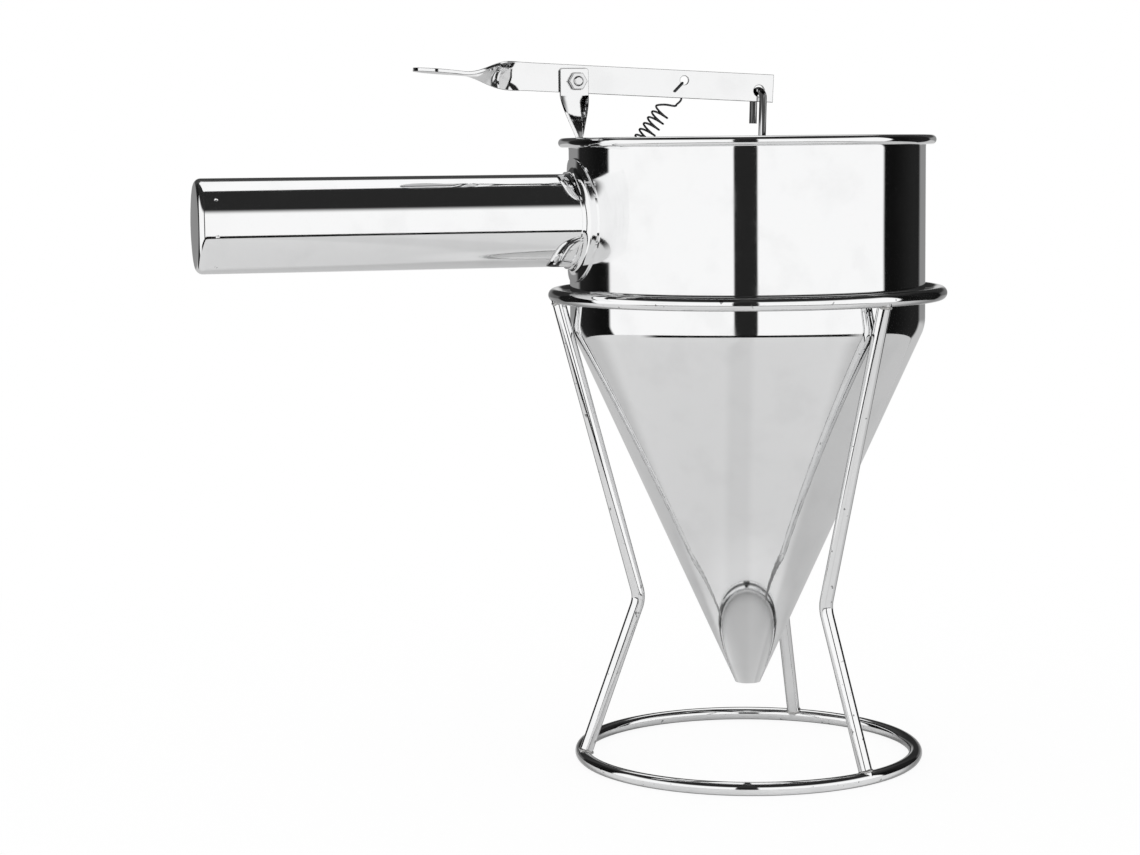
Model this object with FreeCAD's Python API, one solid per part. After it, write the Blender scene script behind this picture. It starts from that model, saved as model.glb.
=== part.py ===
import FreeCAD, Part
import math
import os
from FreeCAD import Vector

# Pancake batter dispenser: a steel funnel with a tube handle and a thumb lever, standing in a wire stand.
# Millimetres, +Z up. The origin is on the table at the stand's axis, and the handle points to -X.

# Funnel
sheet = 0.8
bowl_radius = 68.5
rim_overhang = 4.0
bead_diameter = 3.7
flare_radius = 6.0
bead_end_angle = -115.0
bowl_height = 73.2
cone_height = 139.7
outlet_radius = 4.9
corner_bend = 16.0

# Stand, of one wire gauge
wire = 5.2
ring_clearance = 3.2
ring_height = 182.4
base_inset = 8.8
knee_inset = 31.2
knee_height = 64.6
knee_bend = 11.0
leg_count = 3
first_leg_azimuth = 175.7
weld_depth = 0.8

# Handle
handle_radius = 17.6
handle_wall = 0.8
handle_reach = 208.7
handle_below_rim = 31.2
flange_lip_width = 6.0
flange_lip_rise = 0.8
flange_sweep = 2.4
flange_neck_straight = 0.1
cap_length = 4.2
cap_round = 2.6
cap_dome = 0.9
cap_skirt = 6.5
dimple_count = 8
dimple_from_cap = 3.4
dimple_width = 1.4
dimple_depth = 0.35
first_dimple_angle = 11.0

# Lever, a strip on edge whose outer end is twisted flat as a thumb pad
lever_thickness = 1.3
lever_height = 10.6
lever_tilt = 2.9
lever_past_rod_hole = 5.7
lever_above_pivot = 0.9
twist_start = 18.5
twist_length = 24.5
pad_root_width = 12.0
pad_width = 19.0
pad_length = 19.2
pad_tilt = 1.8
pivot_inset = 0.2
pivot_above_rim = 21.2

# Bracket, a strip that carries the pivot and runs twisted down the inside of the wall
bracket_width = 10.9
bracket_thickness = 1.5
bracket_corner = 0.9
bracket_past_pivot = 0.9
bracket_above_pivot = 4.8
bracket_below_pivot = 5.3
neck_width = 8.5
neck_inset = 1.85
neck_below_rim = 5.4
tail_meets_wall = 14.4
tail_bottom = 29.0
tab_length = 8.4
tab_hole_radius = 1.7
tab_hole_from_wall = 6.0

# Pivot screw and nut
screw_radius = 1.75
screw_head_radius = 3.3
screw_head_height = 2.1
screw_slot = 0.9
nut_flats = 6.0
nut_height = 2.8
nut_chamfer = 0.3
screw_end = 0.7

# Return spring
spring_wire = 0.8
spring_radius = 3.1
spring_pitch = 2.75
spring_hole_radius = 1.7
spring_hole_from_pivot = 42.6
spring_hole_above_pivot = 2.4
hook_bend = 1.2
last_half_turn = 4.8
spring_slope = 53.25
spring_top_from_hole = 9.3
hook_end = 3.6

# Stopper rod and plug
rod_radius = 1.45
rod_hook_spacing = 5.5
rod_hook_turn = 24.0
rod_short_end = 9.8
rod_hole_radius = 2.2
rod_above_hole_edge = 0.8
rod_hole_past_axis = 5.0
rod_hole_above_pivot = -0.2
plug_height = 8.0
plug_above_outlet = 1.0
plug_socket = 6.0
plug_round = 1.6

# Clearances
seat_clearance = 0.05
running_clearance = 0.05
side_clearance = 0.3
hook_clearance = 0.15
plug_clearance = 0.2

X = Vector(1, 0, 0)
Y = Vector(0, 1, 0)
Z = Vector(0, 0, 1)
wire_radius = wire / 2
tolerance = 0.01

# The rim flares out of the wall, and the top ring goes round the wall with the legs drawn in below it
rim_radius = bowl_radius + rim_overhang
ring_radius = bowl_radius + ring_clearance + wire_radius
base_radius = ring_radius - base_inset
knee_radius = ring_radius - knee_inset

# The funnel's corner rests on the three sloping legs, and that sets its height
cone_angle = math.degrees(math.atan2(bowl_radius - outlet_radius, cone_height))
leg_run = (ring_radius - knee_radius) / (ring_height - knee_height)
leg_lean = math.atan(leg_run)
bend_centre_radius = bowl_radius - corner_bend
seat_distance = corner_bend + wire_radius + seat_clearance
leg_radius_at_seat = bend_centre_radius + seat_distance / math.cos(leg_lean)
bend_z = ring_height - (ring_radius - leg_radius_at_seat) / leg_run
corner_z = bend_z - corner_bend * math.tan(math.radians(cone_angle / 2))
outlet_z = corner_z - cone_height
rim_top = corner_z + bowl_height
bowl_inside = bowl_radius - sheet

# The collar goes round the tube: its lip lies on the wall and its neck stands on the sweep
flange_lip_radius = handle_radius + flange_lip_width
flange_neck_rise = flange_lip_rise + flange_sweep + flange_neck_straight

# Places that several pieces share: the pivot stands over the wall, and the rod hangs by the funnel's axis
handle_z = rim_top - handle_below_rim
pivot_from_axis = bowl_inside - pivot_inset
bracket_from_axis = pivot_from_axis + bracket_past_pivot
rod_hole_from_pivot = pivot_from_axis + rod_hole_past_axis
lever_inner = rod_hole_from_pivot + lever_past_rod_hole
pivot = Vector(-pivot_from_axis, 0, rim_top + pivot_above_rim)
bracket_y = -(lever_thickness / 2 + side_clearance + bracket_thickness / 2)


def polar(centre_x, centre_z, radius, degrees):
    """A point of a circle in the XZ plane."""
    angle = math.radians(degrees)
    return Vector(centre_x + radius * math.cos(angle), 0, centre_z + radius * math.sin(angle))


def arc_xz(centre_x, centre_z, radius, start, end):
    """An arc in the XZ plane, between two angles in degrees."""
    places = [polar(centre_x, centre_z, radius, a) for a in (start, (start + end) / 2, end)]
    return Part.Arc(*places).toShape()


def line(start, end):
    return Part.LineSegment(start, end).toShape()


def face_of(edges):
    return Part.Face(Part.Wire(Part.sortEdges(edges)[0]))


def revolved(edges, base, axis):
    return face_of(edges).revolve(base, axis, 360)


def tube_along(edges, radius):
    """A round bar along tangent edges, in their order."""
    path = Part.Wire(edges)
    start = edges[0].valueAt(edges[0].FirstParameter)
    heading = edges[0].tangentAt(edges[0].FirstParameter)
    section = Part.Wire(Part.makeCircle(radius, start, heading))
    return path.makePipeShell([section], True, False)


def rounded_path(points, bend):
    """Straight runs through the points, with an arc of one radius at each inner point."""
    edges = []
    here = points[0]
    for before, corner, after in zip(points, points[1:], points[2:]):
        back = (before - corner).normalize()
        on = (after - corner).normalize()
        half_turn = back.getAngle(on) / 2
        reach = bend / math.tan(half_turn)
        start = corner + back * reach
        end = corner + on * reach
        inward = (back + on).normalize()
        middle = corner + inward * (bend / math.sin(half_turn) - bend)
        edges += [line(here, start), Part.Arc(start, middle, end).toShape()]
        here = end
    edges.append(line(here, points[-1]))
    return edges


# Funnel
def make_bowl():
    """The straight wall with its rim flared and rolled outwards into a bead."""
    bead = bead_diameter / 2
    roll = bead - sheet / 2
    bead_x = rim_radius - bead
    bead_z = rim_top - bead
    step = bead_x - (bowl_radius - sheet / 2)
    flare = math.degrees(math.acos((flare_radius - step) / (flare_radius - roll)))
    flare_x = bowl_radius - sheet / 2 + flare_radius
    flare_z = bead_z - (flare_radius - roll) * math.sin(math.radians(flare))
    edges = []
    for side, wall_x in ((1, bowl_inside), (-1, bowl_radius)):
        flare_face = flare_radius + side * sheet / 2
        roll_face = roll + side * sheet / 2
        edges += [
            line(Vector(wall_x, 0, bend_z), Vector(wall_x, 0, flare_z)),
            arc_xz(flare_x, flare_z, flare_face, 180, 180 - flare),
            arc_xz(bead_x, bead_z, roll_face, 180 - flare, bead_end_angle),
        ]
    edges.append(line(Vector(bowl_inside, 0, bend_z), Vector(bowl_radius, 0, bend_z)))
    edges.append(
        line(
            polar(bead_x, bead_z, roll + sheet / 2, bead_end_angle),
            polar(bead_x, bead_z, roll - sheet / 2, bead_end_angle),
        )
    )
    return revolved(edges, Vector(), Z)


def cone_inside(height):
    """The cone's inside radius at a height above the outlet."""
    slope = math.tan(math.radians(cone_angle))
    return outlet_radius - sheet / math.cos(math.radians(cone_angle)) + slope * height


def make_cone():
    """The cone, with the bend that carries it into the wall."""
    outer = corner_bend
    inner = corner_bend - sheet
    centre = bend_centre_radius
    edges = [
        arc_xz(centre, bend_z, outer, 0, -cone_angle),
        arc_xz(centre, bend_z, inner, 0, -cone_angle),
        line(polar(centre, bend_z, outer, 0), polar(centre, bend_z, inner, 0)),
        line(polar(centre, bend_z, outer, -cone_angle), Vector(outlet_radius, 0, outlet_z)),
        line(polar(centre, bend_z, inner, -cone_angle), Vector(cone_inside(0), 0, outlet_z)),
        line(Vector(outlet_radius, 0, outlet_z), Vector(cone_inside(0), 0, outlet_z)),
    ]
    return revolved(edges, Vector(), Z)


# Handle
def along_handle(radius, start, end):
    """A cylinder on the handle's axis, between two distances from the funnel's axis."""
    return Part.makeCylinder(radius, end - start, Vector(-start, 0, handle_z), -X)


def wall_shell(rise, radius):
    """What lies within a radius of the handle's axis and up to a height on the funnel's wall."""
    reach = 2 * flange_lip_radius
    low = Vector(0, 0, handle_z - reach / 2)
    body = Part.makeCylinder(bowl_radius + rise, reach, low).cut(Part.makeCylinder(bowl_radius, reach, low))
    return body.common(along_handle(radius, 0, bowl_radius + 2 * rise))


def make_flange():
    """The pressed collar: a thin lip that follows the round wall and sweeps up round the tube."""
    neck_radius = handle_radius + sheet
    collar = wall_shell(flange_lip_rise, flange_lip_radius).fuse(wall_shell(flange_neck_rise, neck_radius))
    saddle = [
        e for e in collar.Edges
        if all(
            abs(math.hypot(p.x, p.y) - bowl_radius - flange_lip_rise) < tolerance
            and abs(math.hypot(p.y, p.z - handle_z) - neck_radius) < tolerance
            for p in e.discretize(7)
        )
    ]
    collar = collar.makeFillet(flange_sweep, saddle)
    return collar.cut(along_handle(handle_radius, 0, handle_reach)).removeSplitter()


def make_handle_tube():
    """The grip: a tube coped to the wall, with the punched marks that hold its end cap."""
    grip = along_handle(handle_radius, 0, handle_reach)
    grip = grip.cut(along_handle(handle_radius - handle_wall, 0, handle_reach))
    coping = Part.makeCylinder(bowl_radius, 4 * handle_radius, Vector(0, 0, handle_z - 2 * handle_radius))
    grip = grip.cut(coping)
    ball = (dimple_width ** 2 / 4 + dimple_depth ** 2) / (2 * dimple_depth)
    mark_x = dimple_from_cap - handle_reach
    marks = []
    for number in range(dimple_count):
        angle = math.radians(first_dimple_angle + number * 360 / dimple_count)
        out = Vector(0, -math.cos(angle), -math.sin(angle))
        centre = Vector(mark_x, 0, handle_z) + out * (handle_radius + ball - dimple_depth)
        marks.append(Part.makeSphere(ball, centre))
    return grip.cut(marks)


def make_cap():
    """The end cap: a shallow pressed cup whose skirt sits inside the tube."""
    end = -handle_reach - cap_length
    skirt_out = handle_radius - handle_wall
    skirt_in = skirt_out - sheet

    def dome(inset):
        """The cap's rounded edge and domed face, drawn inset by the sheet's thickness."""
        top = handle_z + handle_radius - inset
        round_x = end + cap_dome + cap_round
        round_z = handle_z + handle_radius - cap_round
        round_radius = cap_round - inset
        rim = Vector(end + cap_dome + inset, 0, round_z)
        centre = Vector(end + inset, 0, handle_z)
        chord = round_z - handle_z
        ball = (chord ** 2 + cap_dome ** 2) / (2 * cap_dome)
        middle = Vector(centre.x + ball - math.sqrt(ball ** 2 - chord ** 2 / 4), 0, handle_z + chord / 2)
        return (
            Vector(round_x, 0, top),
            [
                arc_xz(round_x, round_z, round_radius, 90, 180),
                Part.Arc(rim, middle, centre).toShape(),
            ],
            centre,
        )

    outer_start, outer, outer_centre = dome(0)
    inner_start, inner, inner_centre = dome(sheet)
    lip = Vector(-handle_reach, 0, handle_z + handle_radius)
    corners = [
        outer_start,
        lip,
        Vector(-handle_reach, 0, handle_z + skirt_out),
        Vector(-handle_reach + cap_skirt, 0, handle_z + skirt_out),
        Vector(-handle_reach + cap_skirt, 0, handle_z + skirt_in),
        Vector(inner_start.x, 0, handle_z + skirt_in),
        inner_start,
    ]
    edges = outer + inner + [line(a, b) for a, b in zip(corners, corners[1:])]
    edges.append(line(outer_centre, inner_centre))
    return revolved(edges, Vector(0, 0, handle_z), X)


# Lever and its carrier
def in_lever(along, above, aside=0.0):
    """A place on the lever, along the strip from the pivot towards the rod and above the pivot."""
    tilt = math.radians(lever_tilt)
    return pivot + X * (along * math.cos(tilt) + above * math.sin(tilt)) + Y * aside + Z * (
        above * math.cos(tilt) - along * math.sin(tilt)
    )


def section(centre, across, through, width, thickness):
    """A rectangle about a centre, as a closed wire."""
    corners = [
        centre + across * (i * width / 2) + through * (j * thickness / 2)
        for i, j in ((-1, -1), (1, -1), (1, 1), (-1, 1))
    ]
    return Part.makePolygon(corners + corners[:1])


def make_lever():
    """Built level about the pivot, then tilted: the strip, the quarter twist and the thumb pad."""
    strip = Part.makeBox(
        lever_inner + twist_start,
        lever_thickness,
        lever_height,
        Vector(-twist_start, -lever_thickness / 2, lever_above_pivot - lever_height / 2),
    )
    steps = 10
    pad_root = Vector(-twist_start - twist_length, 0, lever_above_pivot)
    wires = []
    for step in range(steps + 1):
        share = step / steps
        turn = math.pi / 2 * (0.5 - 0.5 * math.cos(math.pi * share))
        across = Vector(0, -math.sin(turn), math.cos(turn))
        through = Vector(0, -math.cos(turn), -math.sin(turn))
        width = lever_height + (pad_root_width - lever_height) * share
        centre = Vector(-twist_start - twist_length * share, 0, lever_above_pivot)
        wires.append(section(centre, across, through, width, lever_thickness))
    wires[-1].rotate(pad_root, Y, pad_tilt)
    twist = Part.makeLoft(wires, True, False)
    half = pad_width / 2
    root = pad_root_width / 2
    straight = pad_length - half
    sides = []
    for side in (-1, 1):
        curve = Part.BezierCurve()
        curve.setPoles(
            [
                Vector(0, side * root, 0),
                Vector(-straight / 3, side * root, 0),
                Vector(-straight / 2, side * half, 0),
                Vector(-straight, side * half, 0),
            ]
        )
        sides.append(curve.toShape())
    round_ends = [Vector(-straight, side * half, 0) for side in (-1, 1)]
    tip = Part.Arc(round_ends[0], Vector(-pad_length, 0, 0), round_ends[1]).toShape()
    pad = face_of(sides + [tip, line(Vector(0, -root, 0), Vector(0, root, 0))])
    pad.translate(pad_root - Z * (lever_thickness / 2))
    pad = pad.extrude(Z * lever_thickness)
    pad.rotate(pad_root, Y, pad_tilt)
    lever = strip.fuse([twist, pad]).removeSplitter()
    lever.rotate(Vector(), Y, lever_tilt)
    lever.translate(pivot)
    holes = (
        (in_lever(0, 0), screw_radius + running_clearance),
        (in_lever(spring_hole_from_pivot, spring_hole_above_pivot), spring_hole_radius),
        (in_lever(rod_hole_from_pivot, rod_hole_above_pivot), rod_hole_radius),
    )
    drills = [Part.makeCylinder(r, 4 * lever_thickness, p - Y * 2 * lever_thickness, Y) for p, r in holes]
    return lever.cut(drills)


def tail_plane():
    """The x of the tail's middle plane: the strip's far edge touches the round wall."""
    edge_y = neck_width / 2 + abs(bracket_y)
    return -(math.sqrt(bowl_inside ** 2 - edge_y ** 2) - bracket_thickness / 2)


def make_bracket():
    """The pivot plate, a quarter twist past the rim, the tail on the wall and the spring's tab."""
    plate_top = pivot.z + bracket_above_pivot
    plate_low = pivot.z - bracket_below_pivot
    plate = Part.makeBox(
        bracket_width,
        bracket_thickness,
        plate_top - plate_low,
        Vector(-bracket_from_axis - bracket_width / 2, bracket_y - bracket_thickness / 2, plate_low),
    )
    top_corners = [
        e for e in plate.Edges
        if abs(e.CenterOfMass.z - plate_top) < tolerance and abs(e.tangentAt(e.FirstParameter).y) > 0.99
    ]
    plate = plate.makeFillet(bracket_corner, top_corners)

    neck_x = -(bowl_inside - neck_inset)
    neck_low = rim_top - neck_below_rim
    rim_share = (plate_low - rim_top) / (plate_low - neck_low)
    wires = []
    steps = 8
    for step in range(steps + 1):
        share = step / steps
        narrowing = min(1.0, share / rim_share)
        ease = narrowing ** 2 * (3 - 2 * narrowing)
        turn = math.pi / 2 * share
        across = Vector(-math.cos(turn), -math.sin(turn), 0)
        through = Vector(math.sin(turn), -math.cos(turn), 0)
        centre_x = -bracket_from_axis + (neck_x + bracket_from_axis) * share
        width = bracket_width + (neck_width - bracket_width) * ease
        centre = Vector(centre_x, bracket_y, plate_low + (neck_low - plate_low) * share)
        wires.append(section(centre, across, through, width, bracket_thickness))
    twist = Part.makeLoft(wires, True, False)

    tail_top = Vector(tail_plane(), bracket_y, rim_top - tail_meets_wall)
    tail_end = Vector(tail_plane(), bracket_y, rim_top - tail_bottom)
    flat = section(tail_top, Y, X, neck_width, bracket_thickness)
    lean = Part.makeLoft([wires[-1], section(tail_top, -Y, X, neck_width, bracket_thickness)], True, True)
    path = Part.Wire(rounded_path([tail_top, tail_end, tail_end + X * tab_length], bracket_thickness))
    tail = path.makePipeShell([flat], True, False)
    bracket = plate.fuse([twist, lean, tail]).removeSplitter()
    pin_hole = Part.makeCylinder(
        screw_radius + running_clearance, 4 * bracket_thickness, pivot - Y * 4 * bracket_thickness, Y
    )
    tab_hole = Part.makeCylinder(
        tab_hole_radius, 4 * bracket_thickness, tab_hole_place() - Z * 2 * bracket_thickness
    )
    return bracket.cut([pin_hole, tab_hole])


def tab_hole_place():
    """The middle of the hole in the spring's tab."""
    return Vector(-bowl_inside + tab_hole_from_wall, bracket_y, rim_top - tail_bottom)


def nut_face():
    """The y of the bracket's outer face, where the nut seats."""
    return bracket_y - bracket_thickness / 2


def make_screw():
    """A slotted pan-head screw, its head behind the lever."""
    head_y = lever_thickness / 2 + side_clearance
    tip_y = nut_face() - nut_height - screw_end
    shank = Part.makeCylinder(screw_radius, head_y - tip_y, Vector(pivot.x, tip_y, pivot.z), Y)
    tip = [e for e in shank.Edges if e.Closed and e.CenterOfMass.y < tip_y + tolerance]
    shank = shank.makeChamfer(screw_end / 2, tip)
    head = Part.makeCylinder(screw_head_radius, screw_head_height, Vector(pivot.x, head_y, pivot.z), Y)
    crown = [e for e in head.Edges if e.Closed and e.CenterOfMass.y > head_y + screw_head_height - tolerance]
    head = head.makeFillet(screw_head_height / 2, crown)
    slot = Part.makeBox(
        2 * screw_head_radius,
        screw_head_height / 2,
        screw_slot,
        Vector(pivot.x - screw_head_radius, head_y + screw_head_height / 2, pivot.z - screw_slot / 2),
    )
    return shank.fuse(head).cut(slot).removeSplitter()


def make_nut():
    """A hexagon nut with one corner towards the handle and its corners chamfered."""
    corner = nut_flats / math.sqrt(3)
    seat = Vector(pivot.x, nut_face(), pivot.z)
    points = []
    for degrees in range(0, 361, 60):
        point = polar(pivot.x, pivot.z, corner, degrees)
        points.append(Vector(point.x, seat.y, point.z))
    body = Part.Face(Part.makePolygon(points)).extrude(-Y * nut_height)
    chamfer = Part.makeCone(corner + nut_height, corner - nut_chamfer, nut_height + nut_chamfer, seat, -Y)
    bore = Part.makeCylinder(screw_radius, 2 * nut_height, seat + Y * (nut_height / 2), -Y)
    return body.common(chamfer).cut(bore)


# Stopper rod and plug
def rod_frame():
    """The rod's crossing point in the lever's hole, its heading and its hook's sideways direction."""
    crossing = in_lever(rod_hole_from_pivot, rod_hole_above_pivot)
    crossing = crossing - Z * (rod_hole_radius - rod_radius - rod_above_hole_edge)
    turn = math.radians(rod_hook_turn)
    aside = Vector(-math.sin(turn), math.cos(turn), 0)
    foot = Vector(0, 0, outlet_z + plug_above_outlet)
    heading = (crossing - (Z + aside) * (rod_hook_spacing / 2) - foot).normalize()
    aside = (aside - heading * aside.dot(heading)).normalize()
    return crossing, heading, aside


def make_rod():
    """A wire with an open hook on top, its long leg in front of the lever and its short one behind."""
    crossing, heading, aside = rod_frame()
    half = rod_hook_spacing / 2
    centre = crossing - heading * half
    front = centre - aside * half
    back = centre + aside * half
    bottom_z = outlet_z + plug_above_outlet + plug_height - plug_socket
    bottom = front - heading * ((front.z - bottom_z) / heading.z)
    edges = [
        line(bottom, front),
        Part.Arc(front, crossing, back).toShape(),
        line(back, back - heading * rod_short_end),
    ]
    return tube_along(edges, rod_radius)


def make_plug(rod):
    """The turned stopper: it follows the cone's slope and holds the rod in its socket."""
    low = outlet_z + plug_above_outlet
    gap = plug_clearance / math.cos(math.radians(cone_angle))
    body = Part.makeCone(
        cone_inside(plug_above_outlet) - gap,
        cone_inside(plug_above_outlet + plug_height) - gap,
        plug_height,
        Vector(0, 0, low),
    )
    crown = [e for e in body.Edges if e.Closed and abs(e.CenterOfMass.z - low - plug_height) < tolerance]
    body = body.makeFillet(plug_round, crown)
    return body.cut(rod)


# Return spring
def biarc(start, start_heading, end, end_heading):
    """Two tangent arcs between two places with given headings, or a line where they are in line."""
    gap = end - start
    if start_heading.getAngle(end_heading) < 1e-6 and start_heading.getAngle(gap) < 1e-6:
        return [line(start, end)]
    both = start_heading + end_heading
    bend = 2 * (1 - start_heading.dot(end_heading))
    if bend < 1e-9:
        reach = gap.dot(gap) / (4 * gap.dot(end_heading))
    else:
        reach = (-gap.dot(both) + math.sqrt(gap.dot(both) ** 2 + bend * gap.dot(gap))) / bend
    joint = (start + start_heading * reach + end - end_heading * reach) * 0.5
    arcs = []
    for first, corner, last in (
        (start, start + start_heading * reach, joint),
        (joint, end - end_heading * reach, end),
    ):
        chord_middle = (first + last) * 0.5
        inward = chord_middle - corner
        half_chord = first.distanceToPoint(last) / 2
        half_turn = math.asin(min(1.0, inward.Length / reach))
        depth = half_chord * math.tan(half_turn / 2)
        middle = chord_middle - inward.normalize() * depth
        arcs.append(Part.Arc(first, middle, last).toShape())
    return arcs


def spring_route():
    """Places and headings along the spring, from its end under the tab to its end before the lever."""
    slope = math.radians(spring_slope)
    axis = Vector(math.cos(slope), 0, math.sin(slope))
    side = Vector(-math.sin(slope), 0, math.cos(slope))
    pitch_turn = math.atan2(spring_pitch, 2 * math.pi * spring_radius)
    wide_turn = math.atan2(last_half_turn, math.pi * spring_radius)

    def coil_place(centre, angle):
        return centre + (Y * math.cos(angle) + side * math.sin(angle)) * spring_radius

    def coil_heading(angle, climb):
        round_way = side * math.cos(angle) - Y * math.sin(angle)
        return (round_way * math.cos(climb) + axis * math.sin(climb)).normalize()

    lever_hole = in_lever(spring_hole_from_pivot, spring_hole_above_pivot)
    slack = spring_hole_radius - spring_wire / 2 - hook_clearance
    crossing = lever_hole - axis * slack
    face = lever_thickness / 2 + side_clearance + spring_wire / 2 + hook_clearance
    tab_hole = tab_hole_place()
    tab_top = tab_hole.z + bracket_thickness / 2
    top_centre = lever_hole - axis * spring_top_from_hole
    body_top = top_centre - axis * last_half_turn

    # Lower end: under the tab, up through its hole, then out to the first turn
    through_x = tab_hole.x + tab_hole_radius - spring_wire / 2 - hook_clearance
    under_z = tab_top - bracket_thickness - hook_bend
    under = Vector(through_x + hook_bend, bracket_y, under_z)
    route = [
        (under + X * (hook_end / 2), -X),
        (under, -X),
        (Vector(through_x, bracket_y, under_z + hook_bend), Z),
        (Vector(through_x, bracket_y, tab_top + spring_wire), Z),
    ]

    # The turns, one place each half turn, counted down from the top
    tab_distance = (body_top - Vector(through_x, 0, tab_top)).dot(axis)
    clear = spring_radius + 2 * spring_wire
    turns = math.floor((tab_distance - clear) / spring_pitch)
    for half_turn in range(2 * turns + 1):
        angle = math.pi / 2 + math.pi * half_turn
        centre = body_top - axis * (spring_pitch * (turns - half_turn / 2))
        route.append((coil_place(centre, angle), coil_heading(angle, pitch_turn)))

    # The last half turn opens, then the wire rises behind the lever and hooks through it
    route += [
        (coil_place(top_centre - axis * (last_half_turn / 2), math.pi), coil_heading(math.pi, wide_turn)),
        (coil_place(top_centre, 1.5 * math.pi), coil_heading(1.5 * math.pi, wide_turn)),
    ]
    low_edge = in_lever(spring_hole_from_pivot, lever_above_pivot - lever_height / 2)
    down = Vector(-1, 0, -1).normalize()
    front = crossing - Y * face + down * hook_bend
    route += [
        (Vector(crossing.x, face, low_edge.z), Z),
        (Vector(crossing.x, face, crossing.z - hook_bend), Z),
        (crossing + Y * (face - hook_bend), -Y),
        (crossing - Y * (face - hook_bend), -Y),
        (front, down),
        (front + down * hook_end, down),
    ]
    return route


def make_spring():
    """One unbroken wire: a hook, the turns and another hook. Prints its turns' least gap."""
    route = spring_route()
    edges = []
    for (start, start_heading), (end, end_heading) in zip(route, route[1:]):
        edges += biarc(start, start_heading, end, end_heading)
    radii = [e.Curve.Radius for e in edges if e.Curve.TypeId == "Part::GeomCircle"]
    sample = 0.4
    points = []
    for edge in edges:
        points += edge.discretize(max(2, int(edge.Length / sample) + 1))[:-1]
    apart = int(4 * spring_wire / sample) + 2
    least = min(
        p.distanceToPoint(q)
        for number, p in enumerate(points)
        for q in points[number + apart:]
    )
    print(f"spring: {len(edges)} edges, tightest bend {min(radii):.2f}, least gap {least - spring_wire:.2f}")
    spring = tube_along(edges, spring_wire / 2)
    length = sum(e.Length for e in edges)
    expected = math.pi * spring_wire ** 2 / 4 * length
    print(f"spring: volume {spring.Volume:.1f}, section times length {expected:.1f}")
    return spring


# Stand
def make_ring(radius, height):
    return Part.makeTorus(radius, wire_radius, Vector(0, 0, height))


def make_leg(azimuth, rings):
    """A wire bent at its knee, its ends coped on the two rings."""
    top = Vector(ring_radius, 0, ring_height)
    knee = Vector(knee_radius, 0, knee_height)
    foot = Vector(base_radius, 0, wire_radius)
    short = wire_radius - weld_depth
    top = top + (knee - top).normalize() * short
    foot = foot + (knee - foot).normalize() * short
    bar = tube_along(rounded_path([top, knee, foot], knee_bend), wire_radius)
    bar.rotate(Vector(), Z, azimuth)
    return bar.cut(rings)


def main():
    os.makedirs("parts", exist_ok=True)
    top_ring = make_ring(ring_radius, ring_height)
    base_ring = make_ring(base_radius, wire_radius)
    rod = make_rod()
    nodes = {
        "funnel_bowl": make_bowl(),
        "funnel_cone": make_cone(),
        "handle_flange": make_flange(),
        "handle_tube": make_handle_tube(),
        "handle_cap": make_cap(),
        "lever_bracket": make_bracket(),
        "pivot_screw": make_screw(),
        "pivot_nut": make_nut(),
        "lever": make_lever(),
        "return_spring": make_spring(),
        "stopper_rod": rod,
        "stopper_plug": make_plug(rod),
        "stand_top_ring": top_ring,
        "stand_base_ring": base_ring,
    }
    for number in range(leg_count):
        azimuth = first_leg_azimuth + number * 360 / leg_count
        nodes[f"stand_leg_{number + 1}"] = make_leg(azimuth, [top_ring, base_ring])
    for name, shape in nodes.items():
        if not shape.isValid() or len(shape.Solids) != 1:
            print(f"{name}: valid {shape.isValid()}, solids {len(shape.Solids)}")
        shape.exportStep(f"parts/{name}.step")
    print(f"corner {corner_z:.2f}, outlet {outlet_z:.2f}, rim top {rim_top:.2f}, handle {handle_z:.2f}")
    crossing = rod_frame()[0]
    print(f"pivot {pivot.x:.3f} {pivot.z:.3f}, rod hinge {crossing.x:.3f} {crossing.z:.3f}")


main()
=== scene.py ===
import math

import bmesh
import bpy
from mathutils import Matrix, Vector


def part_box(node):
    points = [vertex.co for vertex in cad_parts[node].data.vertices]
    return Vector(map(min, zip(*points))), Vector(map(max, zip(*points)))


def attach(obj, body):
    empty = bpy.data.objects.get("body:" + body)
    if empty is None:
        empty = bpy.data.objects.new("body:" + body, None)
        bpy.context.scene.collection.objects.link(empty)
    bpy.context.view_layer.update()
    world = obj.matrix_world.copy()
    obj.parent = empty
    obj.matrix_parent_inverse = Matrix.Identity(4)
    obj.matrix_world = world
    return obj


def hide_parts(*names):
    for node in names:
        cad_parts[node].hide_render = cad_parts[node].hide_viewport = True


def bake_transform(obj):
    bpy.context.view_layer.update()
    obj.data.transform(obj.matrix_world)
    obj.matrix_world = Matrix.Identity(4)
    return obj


bl_info = {
    "name": "Batter dispenser",
    "version": (1, 0, 0),
    "blender": (4, 5, 0),
    "location": "3D View > Sidebar > Dispenser",
    "description": "Polished steel batter funnel with a thumb lever, in its wire stand",
    "category": "Object",
}

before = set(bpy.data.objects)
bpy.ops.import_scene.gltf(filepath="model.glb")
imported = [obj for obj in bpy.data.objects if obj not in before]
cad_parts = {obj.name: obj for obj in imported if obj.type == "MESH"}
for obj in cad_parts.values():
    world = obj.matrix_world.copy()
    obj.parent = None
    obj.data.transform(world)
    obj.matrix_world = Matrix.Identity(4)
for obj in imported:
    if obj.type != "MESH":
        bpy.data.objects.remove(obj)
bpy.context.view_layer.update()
store = {}
MM = 0.001


def length(name, description, millimetres):
    return bpy.props.FloatProperty(
        name=name, description=description, default=millimetres * MM, min=0.0, unit="LENGTH", precision=5
    )


def colour(name, description, value):
    return bpy.props.FloatVectorProperty(
        name=name, description=description, default=value, size=4, min=0.0, max=1.0, subtype="COLOR"
    )


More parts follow.
